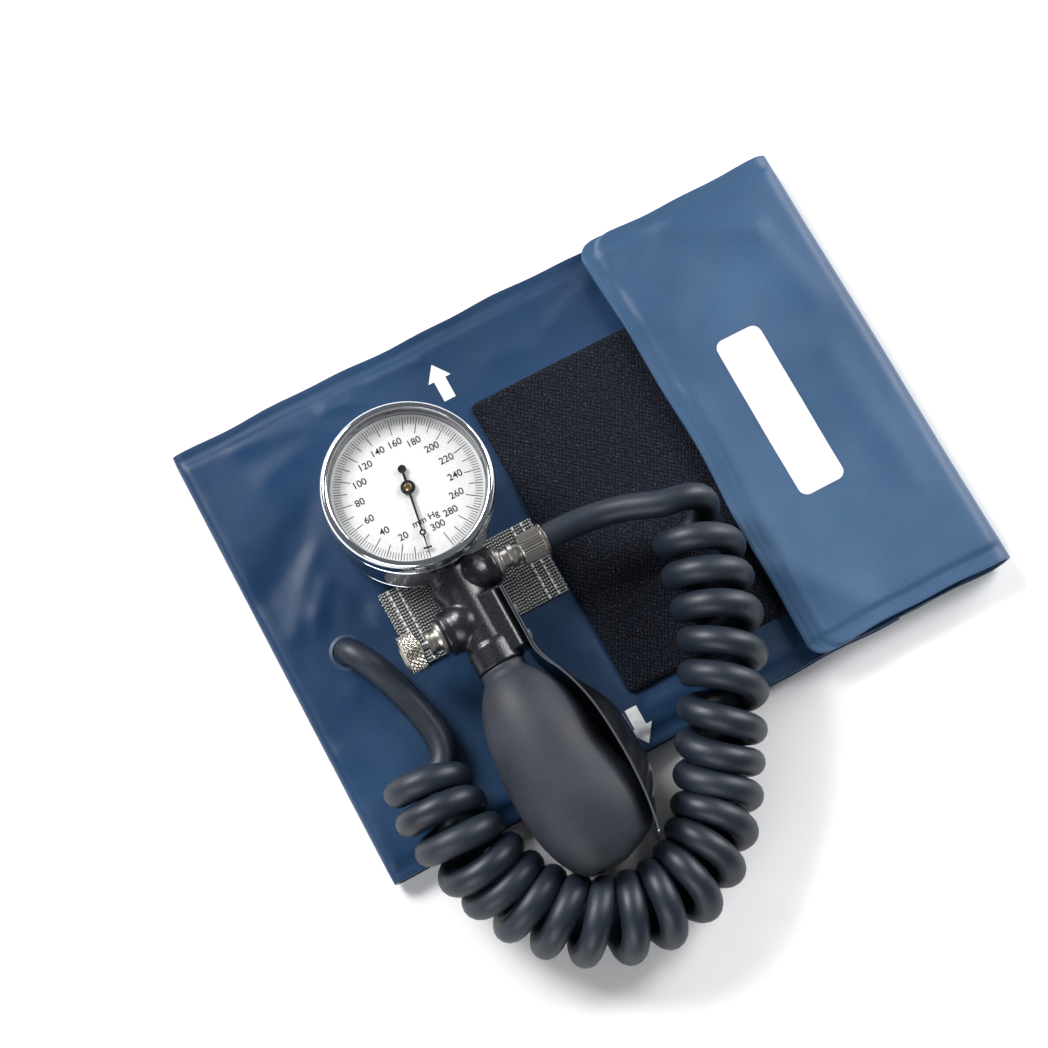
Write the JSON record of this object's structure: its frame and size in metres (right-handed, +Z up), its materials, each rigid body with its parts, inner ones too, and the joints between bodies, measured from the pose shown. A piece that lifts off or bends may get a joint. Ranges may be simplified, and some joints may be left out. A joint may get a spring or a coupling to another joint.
{
  "type": "blood pressure cuff",
  "caption": "Folded arm cuff with hook and loop flap, curly air hose, and a hand unit of dial gauge, manifold, rubber bulb and spoon lever.",
  "frame": {"origin": "centre of the bounding box of the cuff and its hand unit, without the hose, on the surface they lie on", "axes": "+X along the folded cuff towards the flap's fold, +Y along the hand unit from the bulb to the gauge, +Z up out of the dial"},
  "size_m": [0.219, 0.2139, 0.0407],
  "materials": {
    "cuff_fabric": "coated nylon with a soft sheen",
    "loop_pile": "black loop pile",
    "hook_tape": "black hook tape",
    "webbing": "grey woven webbing",
    "hose_rubber": "matt black rubber",
    "bulb_rubber": "matt dark grey rubber",
    "port_plastic": "blue welded ring",
    "die_cast_black": "black textured paint on die-cast metal",
    "chrome": "bright plating",
    "nickel": "knurled, nickel plated",
    "gauge_case_metal": "plated",
    "black_rubber_seal": "matt",
    "lens_glass": "clear",
    "dial_white": "white enamel with black graduations",
    "pointer_black": "black",
    "brass": "brass",
    "steel": "steel",
    "spoon_black": "gloss black with bright edges",
    "valve_rubber": "red rubber"
  },
  "bodies": {
    "cuff": {"cuff_sleeve": "cuff_fabric", "loop_patch": "loop_pile", "gauge_strap": "webbing", "port_eyelet": "port_plastic", "port_elbow": "hose_rubber", "hose_coil": "hose_rubber", "hose_lead_cuff": "hose_rubber"},
    "flap": {"cuff_fold": "cuff_fabric", "cuff_flap": "cuff_fabric", "hook_patch": "hook_tape"},
    "hand_unit": {"manifold_body": "die_cast_black", "gauge_case": "gauge_case_metal", "gauge_bezel": "chrome", "lens_gasket": "black_rubber_seal", "gauge_lens": "lens_glass", "dial_plate": "dial_white", "movement_lower_plate": "brass", "movement_upper_plate": "brass", "movement_pillars": "brass", "movement_screws": "steel", "capsule": "brass", "hairspring": "steel", "valve_bush": "nickel", "valve_gasket": "black_rubber_seal", "hose_nipple": "nickel", "hose_lead_gauge": "hose_rubber", "rubber_bulb": "bulb_rubber", "inlet_valve_body": "nickel", "spoon_lever": "spoon_black", "spoon_screws": "nickel"},
    "pointer": {"pointer_needle": "pointer_black", "pointer_cap": "brass", "pointer_arbor": "steel", "pinion": "brass"},
    "sector": {"sector_gear": "brass", "sector_arbor": "steel"},
    "capsule_rod": {"capsule_pin": "steel"},
    "needle": {"valve_needle": "steel"},
    "knob": {"valve_knob": "nickel"},
    "collar": {"hose_collar": "nickel"},
    "inlet_valve": {"inlet_ball": "steel"},
    "outlet_valve": {"outlet_disc": "valve_rubber"}
  },
  "joints": [
    {"name": "flap_open", "type": "hinge", "parent": "cuff", "child": "flap", "pos_m": [0.10365, 0.014, 0.00585], "axis": [0, 1, 0], "range_deg": [0, 177], "deforming": ["cuff_fold"]},
    {"name": "hand_unit_lift", "type": "slide", "parent": "cuff", "child": "hand_unit", "axis": [0, 0, 1], "range_m": [0, 0.05]},
    {"name": "sector_swing", "type": "hinge", "parent": "hand_unit", "child": "sector", "pos_m": [-0.0361, 0.038, 0.0235], "axis": [0, 0, 1], "range_deg": [0, 42.5]},
    {"name": "pointer_turn", "type": "hinge", "parent": "hand_unit", "child": "pointer", "pos_m": [-0.0505, 0.038, 0.0235], "axis": [0, 0, -1], "range_deg": [0, 340]},
    {"name": "capsule_rise", "type": "slide", "parent": "hand_unit", "child": "capsule_rod", "axis": [0, 0, 1], "range_m": [0, 0.0012]},
    {"name": "valve_travel", "type": "slide", "parent": "hand_unit", "child": "needle", "axis": [-1, 0, 0], "range_m": [0, 0.001]},
    {"name": "valve_turn", "type": "hinge", "parent": "needle", "child": "knob", "pos_m": [-0.0725, -0.006, 0.024], "axis": [-1, 0, 0], "range_deg": [0, 450]},
    {"name": "collar_spin", "type": "hinge", "parent": "hand_unit", "child": "collar", "pos_m": [-0.024, 0.0068, 0.024], "axis": [1, 0, 0], "continuous": true},
    {"name": "inlet_ball_lift", "type": "slide", "parent": "hand_unit", "child": "inlet_valve", "axis": [0, 1, 0], "range_m": [0, 0.001]},
    {"name": "outlet_disc_lift", "type": "slide", "parent": "hand_unit", "child": "outlet_valve", "axis": [0, -1, 0], "range_m": [0, 0.0005]}
  ],
  "couplings": [
    {"joint": "pointer_turn", "follows": "sector_swing", "ratio": 8},
    {"joint": "capsule_rise", "follows": "sector_swing", "m_per_rad": 0.0016},
    {"joint": "valve_travel", "follows": "valve_turn", "m_per_rad": 0.000127}
  ]
}
